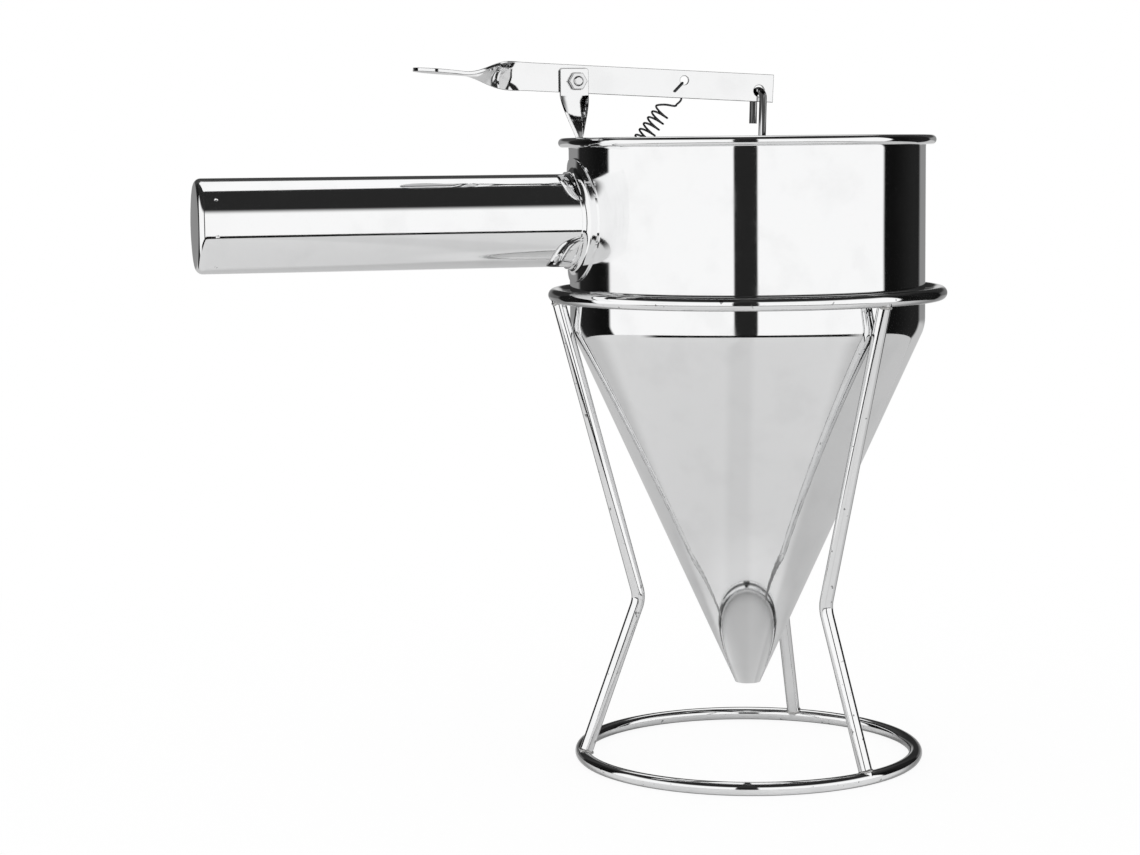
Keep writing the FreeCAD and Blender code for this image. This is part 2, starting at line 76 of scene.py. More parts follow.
class FunnelSizes(bpy.types.PropertyGroup):
    sheet: length("Sheet", "Thickness of the funnel's sheet", 0.8)
    bowl_radius: length("Bowl radius", "Outside radius of the straight wall", 68.5)
    rim_radius: length("Rim radius", "Outside radius of the rolled rim", 72.5)
    bead: length("Bead", "Diameter of the rolled rim", 3.7)
    flare: length("Flare", "Radius of the flare under the rim", 6.0)
    bend: length("Corner bend", "Outside radius of the bend from wall to cone", 16.0)
    outlet_radius: length("Outlet radius", "Outside radius of the outlet", 4.9)
    facets: bpy.props.IntProperty(
        name="Facets", description="Faces round the funnel", default=256, min=32, max=512
    )


class HandleSizes(bpy.types.PropertyGroup):
    radius: length("Radius", "Outside radius of the grip", 17.6)
    wall: length("Wall", "Thickness of the grip's wall", 0.8)
    cap_sheet: length("Cap's sheet", "Thickness of the end cap's sheet", 0.8)
    cap_length: length("Cap", "Length of the end cap beyond the tube", 4.2)
    cap_round: length("Cap's edge", "Radius of the end cap's rounded edge", 2.6)
    cap_dome: length("Dome", "Rise of the end cap's face", 0.9)
    cap_skirt: length("Skirt", "Length of the end cap's skirt inside the tube", 6.5)


class StandSizes(bpy.types.PropertyGroup):
    wire: length("Wire", "Diameter of the stand's wire", 5.2)
    ring_radius: length("Ring radius", "Radius of the top ring's centre line", 74.3)
    ring_height: length("Ring height", "Height of the top ring's centre line", 182.4)
    base_radius: length("Base radius", "Radius of the base ring's centre line", 65.5)
    knee_radius: length("Knee radius", "Distance of each knee from the axis", 43.1)
    knee_height: length("Knee height", "Height of the knees", 64.6)
    knee_bend: length("Knee bend", "Bend radius at the knees", 11.0)
    weld: length("Weld", "How far a weld stands out of the wire", 0.35)
    legs: bpy.props.IntProperty(name="Legs", description="Number of legs", default=3, min=3, max=6)
    first_leg: bpy.props.FloatProperty(
        name="First leg", description="Direction of the first leg", default=math.radians(175.7),
        subtype="ANGLE", unit="ROTATION",
    )


class SpringSizes(bpy.types.PropertyGroup):
    wire: length("Wire", "Diameter of the spring's wire", 0.8)
    radius: length("Radius", "Radius of the coil's centre line", 3.1)
    pitch: length("Pitch", "Rise of one turn", 2.75)
    last_half_turn: length("Last half turn", "Rise of the open half turn at the top", 4.8)
    hook_bend: length("Hook bend", "Bend radius of the hooks", 1.2)
    hook_end: length("Hook end", "Straight end past the upper hook", 3.6)
    top_from_hole: length("Top", "From the lever's hole down to the coil's top", 9.3)
    slope: bpy.props.FloatProperty(
        name="Slope", description="Slope of the coil's axis", default=math.radians(53.25),
        subtype="ANGLE", unit="ROTATION",
    )


class LeverSizes(bpy.types.PropertyGroup):
    thickness: length("Thickness", "Thickness of the lever's strip", 1.3)
    height: length("Height", "Height of the lever's strip", 10.6)
    above_pivot: length("Above pivot", "Rise of the strip's middle over the pivot", 0.9)
    side_gap: length("Side gap", "Gap beside the lever", 0.3)
    bracket: length("Bracket", "Thickness of the bracket's strip", 1.5)
    spring_hole: length("Spring hole", "Radius of the spring's holes", 1.7)
    hole_along: length("Hole along", "From the pivot to the spring's hole", 42.6)
    hole_above: length("Hole above", "Rise of the spring's hole over the pivot", 2.4)
    pivot_out: length("Pivot out", "From the funnel's axis to the pivot", 67.5)
    pivot_above: length("Pivot above", "From the rim's top up to the pivot", 21.2)
    tab_from_wall: length("Tab hole", "From the wall to the tab's hole", 6.0)
    tab_below_rim: length("Tab depth", "From the rim's top down to the tab", 29.0)
    tilt: bpy.props.FloatProperty(
        name="Tilt", description="Slope of the lever at rest", default=math.radians(2.9),
        subtype="ANGLE", unit="ROTATION",
    )


class Finishes(bpy.types.PropertyGroup):
    polished: colour("Polished steel", "The funnel and its handle", (0.93, 0.932, 0.935, 1.0))
    strip: colour("Strip steel", "The lever and its bracket", (0.90, 0.902, 0.905, 1.0))
    wire: colour("Wire steel", "The stand", (0.94, 0.942, 0.945, 1.0))
    rod: colour("Rod steel", "The stopper rod", (0.86, 0.863, 0.868, 1.0))
    spring: colour("Spring steel", "The return spring", (0.09, 0.092, 0.096, 1.0))
    fastener: colour("Fastener steel", "The pivot screw and nut", (0.80, 0.802, 0.806, 1.0))
    turned: colour("Turned steel", "The stopper plug", (0.74, 0.742, 0.746, 1.0))
    weld: colour("Weld", "The welds under the wire rings", (0.55, 0.545, 0.535, 1.0))


class StageSettings(bpy.types.PropertyGroup):
    floor_radius: bpy.props.FloatProperty(
        name="Table", description="Radius of the table top", default=0.54, min=0.3, unit="LENGTH"
    )
    lit_radius: bpy.props.FloatProperty(
        name="Lit table", description="Radius of the table's lit part, inside its dark edge", default=0.42,
        min=0.2, unit="LENGTH",
    )
    floor_colour: colour("Table colour", "The pale table top", (0.90, 0.90, 0.90, 1.0))
    room_light: bpy.props.FloatProperty(
        name="Room light", description="Light from all round on matt surfaces", default=0.80, min=0.0
    )


# Measuring up
def settings():
    return bpy.context.scene


def polar(centre_x, centre_z, radius, degrees):
    angle = math.radians(degrees)
    return Vector((centre_x + radius * math.cos(angle), 0.0, centre_z + radius * math.sin(angle)))


def arc(centre_x, centre_z, radius, start, end, steps):
    """Points of an arc in the XZ plane, between two angles in degrees."""
    return [polar(centre_x, centre_z, radius, start + (end - start) * i / steps) for i in range(steps + 1)]


def run(start, end, margin=0.3 * MM):
    """A straight run, with a point near each end so that its shading stays flat between them."""
    way = (end - start).normalized() * margin
    return [start, start + way, end - way, end]


def joined(*stretches):
    """The stretches as one list of points, with no point twice in a row."""
    points = []
    for stretch in stretches:
        for point in stretch:
            if not points or (point - points[-1]).length > 1e-7:
                points.append(point)
    return points


def path_mesh(name, points, closed):
    """Points joined by edges, as the start of a piece that a node tree finishes."""
    mesh = bpy.data.meshes.new(name)
    edges = [(i, i + 1) for i in range(len(points) - 1)]
    if closed:
        edges.append((len(points) - 1, 0))
    mesh.from_pydata([tuple(p) for p in points], edges, [])
    piece = bpy.data.objects.new(name, mesh)
    bpy.context.scene.collection.objects.link(piece)
    return piece


# Node trees that make pieces
def new_tree(name, sockets):
    tree = bpy.data.node_groups.new(name, "GeometryNodeTree")
    tree.interface.new_socket("Geometry", in_out="INPUT", socket_type="NodeSocketGeometry")
    for label, kind in sockets:
        tree.interface.new_socket(label, in_out="INPUT", socket_type=kind)
    tree.interface.new_socket("Geometry", in_out="OUTPUT", socket_type="NodeSocketGeometry")
    return tree, tree.nodes.new("NodeGroupInput"), tree.nodes.new("NodeGroupOutput")


def finish_tree(tree, geometry, material, end):
    """Realize Instances, smooth shading and Set Material, which end every tree."""
    real = tree.nodes.new("GeometryNodeRealizeInstances")
    smooth = tree.nodes.new("GeometryNodeSetShadeSmooth")
    paint = tree.nodes.new("GeometryNodeSetMaterial")
    tree.links.new(geometry, real.inputs["Geometry"])
    tree.links.new(real.outputs["Geometry"], smooth.inputs["Geometry"])
    tree.links.new(smooth.outputs["Geometry"], paint.inputs["Geometry"])
    tree.links.new(material, paint.inputs["Material"])
    tree.links.new(paint.outputs["Geometry"], end.inputs["Geometry"])


def math_node(tree, operation, first, second=None):
    node = tree.nodes.new("ShaderNodeMath")
    node.operation = operation
    for socket, value in zip(node.inputs, (first, second)):
        if isinstance(value, (int, float)):
            socket.default_value = value
        elif value is not None:
            tree.links.new(value, socket)
    return node.outputs[0]


def turned_sheet_tree():
    """Spins a closed outline, drawn in the XZ plane, round the Z axis."""
    tree, start, end = new_tree(
        "turned_sheet",
        [
            ("Points", "NodeSocketInt"),
            ("Facets", "NodeSocketInt"),
            ("Material", "NodeSocketMaterial"),
        ],
    )
    grid = tree.nodes.new("GeometryNodeMeshGrid")
    index = tree.nodes.new("GeometryNodeInputIndex")
    position = tree.nodes.new("GeometryNodeInputPosition")
    sample = tree.nodes.new("GeometryNodeSampleIndex")
    sample.data_type = "FLOAT_VECTOR"
    split = tree.nodes.new("ShaderNodeSeparateXYZ")
    place = tree.nodes.new("ShaderNodeCombineXYZ")
    move = tree.nodes.new("GeometryNodeSetPosition")
    merge = tree.nodes.new("GeometryNodeMergeByDistance")
    merge.inputs["Distance"].default_value = 1e-6
    points, facets = start.outputs["Points"], start.outputs["Facets"]
    rows = math_node(tree, "ADD", points, 1)
    tree.links.new(math_node(tree, "ADD", facets, 1), grid.inputs["Vertices X"])
    tree.links.new(rows, grid.inputs["Vertices Y"])
    row = math_node(tree, "MODULO", index.outputs[0], rows)
    column = math_node(tree, "FLOOR", math_node(tree, "DIVIDE", index.outputs[0], rows))
    angle = math_node(tree, "MULTIPLY", math_node(tree, "DIVIDE", column, facets), math.tau)
    tree.links.new(start.outputs["Geometry"], sample.inputs["Geometry"])
    tree.links.new(position.outputs[0], sample.inputs["Value"])
    tree.links.new(math_node(tree, "MODULO", row, points), sample.inputs["Index"])
    tree.links.new(sample.outputs[0], split.inputs[0])
    x, z = split.outputs["X"], split.outputs["Z"]
    tree.links.new(math_node(tree, "MULTIPLY", x, math_node(tree, "COSINE", angle)), place.inputs["X"])
    tree.links.new(math_node(tree, "MULTIPLY", x, math_node(tree, "SINE", angle)), place.inputs["Y"])
    tree.links.new(z, place.inputs["Z"])
    tree.links.new(grid.outputs["Mesh"], move.inputs["Geometry"])
    tree.links.new(place.outputs[0], move.inputs["Position"])
    tree.links.new(move.outputs[0], merge.inputs["Geometry"])
    finish_tree(tree, merge.outputs[0], start.outputs["Material"], end)
    return tree


def bent_wire_tree():
    """Round wire along a path, repeated at even steps round the Z axis."""
    tree, start, end = new_tree(
        "bent_wire",
        [
            ("Diameter", "NodeSocketFloat"),
            ("Sides", "NodeSocketInt"),
            ("Copies", "NodeSocketInt"),
            ("Material", "NodeSocketMaterial"),
        ],
    )
    to_curve = tree.nodes.new("GeometryNodeMeshToCurve")
    circle = tree.nodes.new("GeometryNodeCurvePrimitiveCircle")
    sweep = tree.nodes.new("GeometryNodeCurveToMesh")
    sweep.inputs["Fill Caps"].default_value = True
    line = tree.nodes.new("GeometryNodeMeshLine")
    line.inputs["Offset"].default_value = (0.0, 0.0, 0.0)
    index = tree.nodes.new("GeometryNodeInputIndex")
    turn = tree.nodes.new("ShaderNodeCombineXYZ")
    copies = tree.nodes.new("GeometryNodeInstanceOnPoints")
    tree.links.new(start.outputs["Geometry"], to_curve.inputs[0])
    tree.links.new(math_node(tree, "DIVIDE", start.outputs["Diameter"], 2.0), circle.inputs["Radius"])
    tree.links.new(start.outputs["Sides"], circle.inputs["Resolution"])
    tree.links.new(to_curve.outputs[0], sweep.inputs["Curve"])
    tree.links.new(circle.outputs[0], sweep.inputs["Profile Curve"])
    tree.links.new(start.outputs["Copies"], line.inputs["Count"])
    step = math_node(tree, "DIVIDE", math.tau, start.outputs["Copies"])
    tree.links.new(math_node(tree, "MULTIPLY", index.outputs[0], step), turn.inputs["Z"])
    tree.links.new(line.outputs[0], copies.inputs["Points"])
    tree.links.new(sweep.outputs[0], copies.inputs["Instance"])
    tree.links.new(turn.outputs[0], copies.inputs["Rotation"])
    finish_tree(tree, copies.outputs[0], start.outputs["Material"], end)
    return tree


def weld_tree():
    """A lumpy bead at each point, flattened along the way that the point's wire leaves."""
    flatness, lumps_per_metre = 0.42, 620.0
    tree, start, end = new_tree(
        "weld_beads",
        [("Radius", "NodeSocketFloat"), ("Lump", "NodeSocketFloat"), ("Material", "NodeSocketMaterial")],
    )
    ball = tree.nodes.new("GeometryNodeMeshIcoSphere")
    ball.inputs["Subdivisions"].default_value = 4
    copies = tree.nodes.new("GeometryNodeInstanceOnPoints")
    copies.inputs["Scale"].default_value = (1.0, 1.0, flatness)
    way = tree.nodes.new("GeometryNodeInputNamedAttribute")
    way.data_type = "FLOAT_VECTOR"
    way.inputs["Name"].default_value = "way"
    align = tree.nodes.new("FunctionNodeAlignEulerToVector")
    align.axis = "Z"
    real = tree.nodes.new("GeometryNodeRealizeInstances")
    noise = tree.nodes.new("ShaderNodeTexNoise")
    noise.inputs["Scale"].default_value = lumps_per_metre
    noise.inputs["Detail"].default_value = 2.0
    normal = tree.nodes.new("GeometryNodeInputNormal")
    scale = tree.nodes.new("ShaderNodeVectorMath")
    scale.operation = "SCALE"
    move = tree.nodes.new("GeometryNodeSetPosition")
    tree.links.new(start.outputs["Radius"], ball.inputs["Radius"])
    tree.links.new(start.outputs["Geometry"], copies.inputs["Points"])
    tree.links.new(ball.outputs[0], copies.inputs["Instance"])
    tree.links.new(way.outputs[0], align.inputs["Vector"])
    tree.links.new(align.outputs[0], copies.inputs["Rotation"])
    tree.links.new(copies.outputs[0], real.inputs[0])
    uneven = math_node(tree, "SUBTRACT", noise.outputs[0], 0.5)
    tree.links.new(normal.outputs[0], scale.inputs[0])
    tree.links.new(math_node(tree, "MULTIPLY", uneven, start.outputs["Lump"]), scale.inputs["Scale"])
    tree.links.new(real.outputs[0], move.inputs["Geometry"])
    tree.links.new(scale.outputs[0], move.inputs["Offset"])
    finish_tree(tree, move.outputs[0], start.outputs["Material"], end)
    return tree


def made_by_tree(piece, tree, values, sharp=35.0):
    """Runs the tree on the piece and keeps its result as a plain mesh, with no bare edge and with its
    faces turned outwards."""
    modifier = piece.modifiers.new(tree.name, "NODES")
    modifier.node_group = tree
    sockets = {s.name: s.identifier for s in tree.interface.items_tree if s.in_out == "INPUT"}
    for label, value in values.items():
        modifier[sockets[label]] = value
    graph = bpy.context.evaluated_depsgraph_get()
    graph.update()
    result = bpy.data.meshes.new_from_object(piece.evaluated_get(graph))
    piece.modifiers.remove(modifier)
    outline = piece.data
    piece.data = result
    bpy.data.meshes.remove(outline)
    shell = bmesh.new()
    shell.from_mesh(result)
    bare = [edge for edge in shell.edges if edge.is_wire]
    bmesh.ops.delete(shell, geom=bare, context="EDGES")
    bmesh.ops.recalc_face_normals(shell, faces=shell.faces)
    shell.to_mesh(result)
    shell.free()
    result.set_sharp_from_angle(angle=math.radians(sharp))
    return piece


# Finishes
def shader_group(name, inputs, outputs):
    tree = bpy.data.node_groups.new(name, "ShaderNodeTree")
    for label, kind in inputs:
        tree.interface.new_socket(label, in_out="INPUT", socket_type=kind)
    for label in outputs:
        tree.interface.new_socket(label, in_out="OUTPUT", socket_type="NodeSocketFloat")
    return tree, tree.nodes.new("NodeGroupInput"), tree.nodes.new("NodeGroupOutput")


def shade(base, share):
    """A colour darkened to a share of itself."""
    return (base[0] * share, base[1] * share, base[2] * share, 1.0)


def mixed(tree, factor, first, second):
    """A mix of two colours, each a socket or a plain colour."""
    node = tree.nodes.new("ShaderNodeMix")
    node.data_type = "RGBA"
    tree.links.new(factor, node.inputs[0])
    for socket, value in ((node.inputs[6], first), (node.inputs[7], second)):
        if isinstance(value, bpy.types.NodeSocket):
            tree.links.new(value, socket)
        else:
            socket.default_value = tuple(value)
    return node.outputs[2]


def ramp(tree, value, first, last, low=0.0, high=1.0):
    """A soft step from low to high, as the value goes from first to last."""
    node = tree.nodes.new("ShaderNodeMapRange")
    node.interpolation_type = "SMOOTHSTEP"
    for label, number in (("From Min", first), ("From Max", last), ("To Min", low), ("To Max", high)):
        node.inputs[label].default_value = number
    tree.links.new(value, node.inputs["Value"])
    return node.outputs["Result"]


def metal_marks():
    """Polishing lines, handling haze and tiny pits, as values that change over the surface."""
    tree, start, end = shader_group(
        "metal_marks",
        [
            ("Lines", "NodeSocketVector"),
            ("Place", "NodeSocketVector"),
            ("Line depth", "NodeSocketFloat"),
            ("Wave depth", "NodeSocketFloat"),
            ("Pit depth", "NodeSocketFloat"),
            ("Pit scale", "NodeSocketFloat"),
            ("Haze", "NodeSocketFloat"),
            ("Gloss", "NodeSocketFloat"),
        ],
        ["Height", "Roughness", "Haze", "Pits", "Lines"],
    )

    def noise(vector, scale, detail):
        node = tree.nodes.new("ShaderNodeTexNoise")
        node.inputs["Scale"].default_value = scale
        node.inputs["Detail"].default_value = detail
        tree.links.new(vector, node.inputs["Vector"])
        return node

    lines = noise(start.outputs["Lines"], scale=1.0, detail=3.0).outputs["Fac"]
    waves = noise(start.outputs["Place"], scale=22.0, detail=1.0).outputs["Fac"]
    clouds = noise(start.outputs["Place"], scale=60.0, detail=4.0).outputs["Fac"]
    pit_node = noise(start.outputs["Place"], scale=900.0, detail=1.0)
    tree.links.new(start.outputs["Pit scale"], pit_node.inputs["Scale"])
    haze = ramp(tree, clouds, first=0.46, last=0.72)
    pits = ramp(tree, pit_node.outputs["Fac"], first=0.70, last=0.78)
    height = math_node(tree, "MULTIPLY", lines, start.outputs["Line depth"])
    height = math_node(tree, "ADD", height, math_node(tree, "MULTIPLY", waves, start.outputs["Wave depth"]))
    sunk = math_node(tree, "MULTIPLY", pits, start.outputs["Pit depth"])
    height = math_node(tree, "SUBTRACT", height, sunk)
    dull = math_node(tree, "MULTIPLY", haze, start.outputs["Haze"])
    streak = math_node(tree, "MULTIPLY", lines, math_node(tree, "MULTIPLY", start.outputs["Haze"], 0.5))
    rough = math_node(tree, "ADD", start.outputs["Gloss"], math_node(tree, "ADD", dull, streak))
    tree.links.new(height, end.inputs["Height"])
    tree.links.new(rough, end.inputs["Roughness"])
    tree.links.new(haze, end.inputs["Haze"])
    tree.links.new(pits, end.inputs["Pits"])
    tree.links.new(lines, end.inputs["Lines"])
    return tree


def broken_edges(tree, radius):
    """A normal that rounds the sharp edges, and how strongly painted shade darkens the edges where it does.
    """
    bevel = tree.nodes.new("ShaderNodeBevel")
    bevel.samples = 8
    bevel.inputs["Radius"].default_value = radius
    face = tree.nodes.new("ShaderNodeNewGeometry")
    facing = tree.nodes.new("ShaderNodeVectorMath")
    facing.operation = "DOT_PRODUCT"
    tree.links.new(bevel.outputs["Normal"], facing.inputs[0])
    tree.links.new(face.outputs["Normal"], facing.inputs[1])
    return bevel.outputs["Normal"], ramp(tree, facing.outputs["Value"], first=0.995, last=0.88)


HAZE_SHADE = 0.955
PIT_SHADE = 0.35
# The next two are shares of colour left under painted shade: on broken edges and in crevices.
PAINTED_EDGE_SHADE = 0.12
PAINTED_CREVICE_SHADE = 0.08


def steel(
    name, marks, base, lines, line_depth, wave_depth, haze, gloss, pit_depth=0.0, pit_scale=900.0, edge=0.0,
    crevice=0.0, drawn=1.0, rim=1.0,
):
    """A polished steel. lines is how fine its marks are along X, Y and Z, per metre; edge is the radius to
    which its sharp edges are broken, where painted shade also darkens them; crevice is how far from other
    faces painted shade darkens it; drawn is how much of its colour is left in the streaks of a drawn wire,
    and rim how much is left under the painted shade where a wire turns out of sight."""
    material = bpy.data.materials.new(name)
    material.use_nodes = True
    tree = material.node_tree
    surface = tree.nodes["Principled BSDF"]
    surface.inputs["Metallic"].default_value = 1.0
    place = tree.nodes.new("ShaderNodeTexCoord")
    mapping = tree.nodes.new("ShaderNodeMapping")
    mapping.inputs["Scale"].default_value = lines
    group = tree.nodes.new("ShaderNodeGroup")
    group.node_tree = marks
    tree.links.new(place.outputs["Object"], mapping.inputs["Vector"])
    tree.links.new(mapping.outputs["Vector"], group.inputs["Lines"])
    tree.links.new(place.outputs["Object"], group.inputs["Place"])
    values = {
        "Line depth": line_depth,
        "Wave depth": wave_depth,
        "Pit depth": pit_depth,
        "Pit scale": pit_scale,
        "Haze": haze,
        "Gloss": gloss,
    }
    for label, value in values.items():
        group.inputs[label].default_value = value
    bump = tree.nodes.new("ShaderNodeBump")
    bump.inputs["Strength"].default_value = 1.0
    bump.inputs["Distance"].default_value = 1.0
    seen = mixed(tree, group.outputs["Haze"], base, shade(base, HAZE_SHADE))
    if drawn < 1.0:
        streaks = ramp(tree, group.outputs["Lines"], first=0.60, last=0.48)
        seen = mixed(tree, streaks, seen, shade(base, drawn))
    if pit_depth:
        seen = mixed(tree, group.outputs["Pits"], seen, shade(base, PIT_SHADE))
    # Painted shade on the broken edges, laid over the real rounding of their normals.
    if edge:
        rounded, painted_edge_mask = broken_edges(tree, edge)
        tree.links.new(rounded, bump.inputs["Normal"])
        seen = mixed(tree, painted_edge_mask, seen, shade(base, PAINTED_EDGE_SHADE))
    # Painted shade in crevices, wherever other faces are near.
    if crevice:
        around = tree.nodes.new("ShaderNodeAmbientOcclusion")
        around.samples = 8
        around.inputs["Distance"].default_value = crevice
        painted_crevice_mask = ramp(tree, around.outputs["AO"], first=0.90, last=0.55)
        seen = mixed(tree, painted_crevice_mask, seen, shade(base, PAINTED_CREVICE_SHADE))
    # Painted shade where a wire turns out of sight, darkening its outline.
    if rim < 1.0:
        facing = tree.nodes.new("ShaderNodeLayerWeight")
        facing.inputs["Blend"].default_value = 0.5
        painted_rim_mask = ramp(tree, facing.outputs["Facing"], first=0.45, last=0.75)
        seen = mixed(tree, painted_rim_mask, seen, shade(base, rim))
    tree.links.new(seen, surface.inputs["Base Color"])
    tree.links.new(group.outputs["Roughness"], surface.inputs["Roughness"])
    tree.links.new(group.outputs["Height"], bump.inputs["Height"])
    tree.links.new(bump.outputs["Normal"], surface.inputs["Normal"])
    return material


def make_finishes():
    colours = settings().dispenser_finishes
    recipes = {
        "funnel": dict(
            base=colours.polished, lines=(9, 9, 900), line_depth=4e-8, wave_depth=8e-5,
            haze=0.035, gloss=0.035,
        ),
        "handle": dict(
            base=colours.polished, lines=(900, 12, 12), line_depth=4e-8, wave_depth=1.2e-6,
            haze=0.04, gloss=0.04,
        ),
        "strip": dict(
            base=colours.strip, lines=(20, 20, 1300), line_depth=4e-8, wave_depth=8e-7,
            haze=0.05, gloss=0.06, edge=0.45 * MM, crevice=0.7 * MM,
        ),
        "bracket": dict(
            base=colours.strip, lines=(1300, 20, 20), line_depth=4e-8, wave_depth=8e-7,
            haze=0.05, gloss=0.06, edge=0.35 * MM, crevice=0.7 * MM,
        ),
        "wire": dict(
            base=colours.wire, lines=(160, 160, 160), line_depth=5e-7, wave_depth=1.5e-6,
            haze=0.05, gloss=0.03, pit_depth=1.2e-5, pit_scale=520.0, rim=0.25,
        ),
        "rod": dict(
            base=colours.rod, lines=(1500, 1500, 25), line_depth=6e-6, wave_depth=0.0,
            haze=0.05, gloss=0.05, drawn=0.08, rim=0.10,
        ),
        "spring": dict(
            base=colours.spring, lines=(600, 600, 600), line_depth=4e-7, wave_depth=0.0,
            haze=0.10, gloss=0.14,
        ),
        "fastener": dict(
            base=colours.fastener, lines=(900, 900, 900), line_depth=3e-7, wave_depth=0.0,
            haze=0.08, gloss=0.12, edge=0.4 * MM, crevice=1.0 * MM,
        ),
        "turned": dict(
            base=colours.turned, lines=(40, 40, 5200), line_depth=1.2e-6, wave_depth=0.0,
            haze=0.10, gloss=0.22,
        ),
        "weld": dict(
            base=colours.weld, lines=(900, 900, 900), line_depth=4e-6, wave_depth=0.0,
            haze=0.20, gloss=0.24, pit_depth=1.5e-5, pit_scale=1300.0,
        ),
    }
    marks = metal_marks()
    return {name: steel(name, marks, **recipe) for name, recipe in recipes.items()}


def finish(name):
    """A finish by its short name, made once."""
    if "finishes" not in store:
        store["finishes"] = make_finishes()
    return store["finishes"][name]


def dress(node, finish_name):
    """Gives a carried-over node its finish."""
    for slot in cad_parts[node].material_slots:
        slot.material = finish(finish_name)


def tree_named(name, maker):
    """A node tree by its name, made once."""
    if name not in store:
        store[name] = maker()
    return store[name]


# Pieces
def bowl_outline(s):
    """The wall's closed outline: up the inside, over the flare and bead, and down the outside."""
    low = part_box("funnel_bowl")[0].z
    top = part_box("funnel_bowl")[1].z
    bead = s.bead / 2
    roll = bead - s.sheet / 2
    bead_x, bead_z = s.rim_radius - bead, top - bead
    step = bead_x - (s.bowl_radius - s.sheet / 2)
    turn = math.degrees(math.acos((s.flare - step) / (s.flare - roll)))
    flare_x = s.bowl_radius - s.sheet / 2 + s.flare
    flare_z = bead_z - (s.flare - roll) * math.sin(math.radians(turn))
    half = s.sheet / 2
    bead_end = -115
    return joined(
        run(Vector((s.bowl_radius - s.sheet, 0, low)), Vector((s.bowl_radius - s.sheet, 0, flare_z))),
        arc(flare_x, flare_z, s.flare + half, 180, 180 - turn, 12),
        arc(bead_x, bead_z, roll + half, 180 - turn, bead_end, 40),
        arc(bead_x, bead_z, roll - half, bead_end, 180 - turn, 28),
        arc(flare_x, flare_z, s.flare - half, 180 - turn, 180, 12),
        run(Vector((s.bowl_radius, 0, flare_z)), Vector((s.bowl_radius, 0, low))),
    )


def cone_outline(s):
    """The cone's closed outline: from the wall down the outside to the outlet and up the inside."""
    low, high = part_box("funnel_cone")
    centre_x, centre_z = s.bowl_radius - s.bend, high.z
    angle = 20.0
    for _ in range(40):
        corner = centre_z - s.bend * math.tan(math.radians(angle / 2))
        angle = math.degrees(math.atan2(s.bowl_radius - s.outlet_radius, corner - low.z))
    inside = s.outlet_radius - s.sheet / math.cos(math.radians(angle))
    outer_end = polar(centre_x, centre_z, s.bend, -angle)
    inner_end = polar(centre_x, centre_z, s.bend - s.sheet, -angle)
    return joined(
        arc(centre_x, centre_z, s.bend, 0, -angle, 24),
        run(outer_end, Vector((s.outlet_radius, 0, low.z))),
        run(Vector((inside, 0, low.z)), inner_end),
        arc(centre_x, centre_z, s.bend - s.sheet, -angle, 0, 24),
    )


def cap_outline(s, end):
    """The end cap's closed outline, drawn upright with its face at the top, at the given end."""
    skirt = s.radius - s.wall
    lip_z = end - s.cap_length
    round_x, round_z = s.radius - s.cap_round, end - s.cap_dome - s.cap_round
    ball = (round_x ** 2 + s.cap_dome ** 2) / (2 * s.cap_dome)
    slope = math.degrees(math.asin(round_x / ball))
    return joined(
        arc(0.0, end - ball, ball, 90, 90 - slope, 12),
        arc(round_x, round_z, s.cap_round, 90, 0, 16),
        [
            Vector((s.radius, 0, lip_z)),
            Vector((skirt, 0, lip_z)),
            Vector((skirt, 0, lip_z - s.cap_skirt)),
            Vector((skirt - s.cap_sheet, 0, lip_z - s.cap_skirt)),
            Vector((skirt - s.cap_sheet, 0, round_z)),
        ],
        arc(round_x, round_z, s.cap_round - s.cap_sheet, 0, 90, 8),
        arc(0.0, end - s.cap_sheet - ball, ball, 90 - slope, 90, 8),
    )


def make_turned(name, outline, facets, node, finish_name="funnel", place=Matrix()):
    """A piece spun round the Z axis and then set in its place."""
    piece = path_mesh(name, outline, True)
    tree = tree_named("turned_sheet", turned_sheet_tree)
    values = {"Points": len(outline), "Facets": facets, "Material": finish(finish_name)}
    made_by_tree(piece, tree, values)
    piece.data.transform(place)
    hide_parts(node)
    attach(piece, "funnel")


class DISPENSER_OT_funnel(bpy.types.Operator):
    """Spins the funnel's wall and cone out of their outlines"""
    bl_idname = "dispenser.funnel"
    bl_label = "Funnel"

    def execute(self, context):
        sizes = settings().dispenser_funnel
        make_turned("funnel_wall", bowl_outline(sizes), sizes.facets, "funnel_bowl")
        make_turned("funnel_tip", cone_outline(sizes), sizes.facets, "funnel_cone")
        return {"FINISHED"}


class DISPENSER_OT_handle(bpy.types.Operator):
    """Polishes the handle's tube and collar, and spins its end cap"""
    bl_idname = "dispenser.handle"
    bl_label = "Handle"

    def execute(self, context):
        dress("handle_tube", "handle")
        dress("handle_flange", "handle")
        low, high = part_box("handle_cap")
        outline = cap_outline(settings().dispenser_handle, -low.x)
        lying = Matrix.Translation((0, 0, (low.z + high.z) / 2)) @ Matrix.Rotation(math.radians(-90), 4, "Y")
        facets = settings().dispenser_funnel.facets
        make_turned("end_cap", outline, facets, "handle_cap", "handle", lying)
        return {"FINISHED"}


class DISPENSER_OT_lever(bpy.types.Operator):
    """Finishes the lever, its bracket, its pivot and the stopper"""
    bl_idname = "dispenser.lever"
    bl_label = "Lever and stopper"

    def execute(self, context):
        dress("lever", "strip")
        dress("lever_bracket", "bracket")
        dress("pivot_screw", "fastener")
        dress("pivot_nut", "fastener")
        dress("stopper_rod", "rod")
        dress("stopper_plug", "turned")
        return {"FINISHED"}


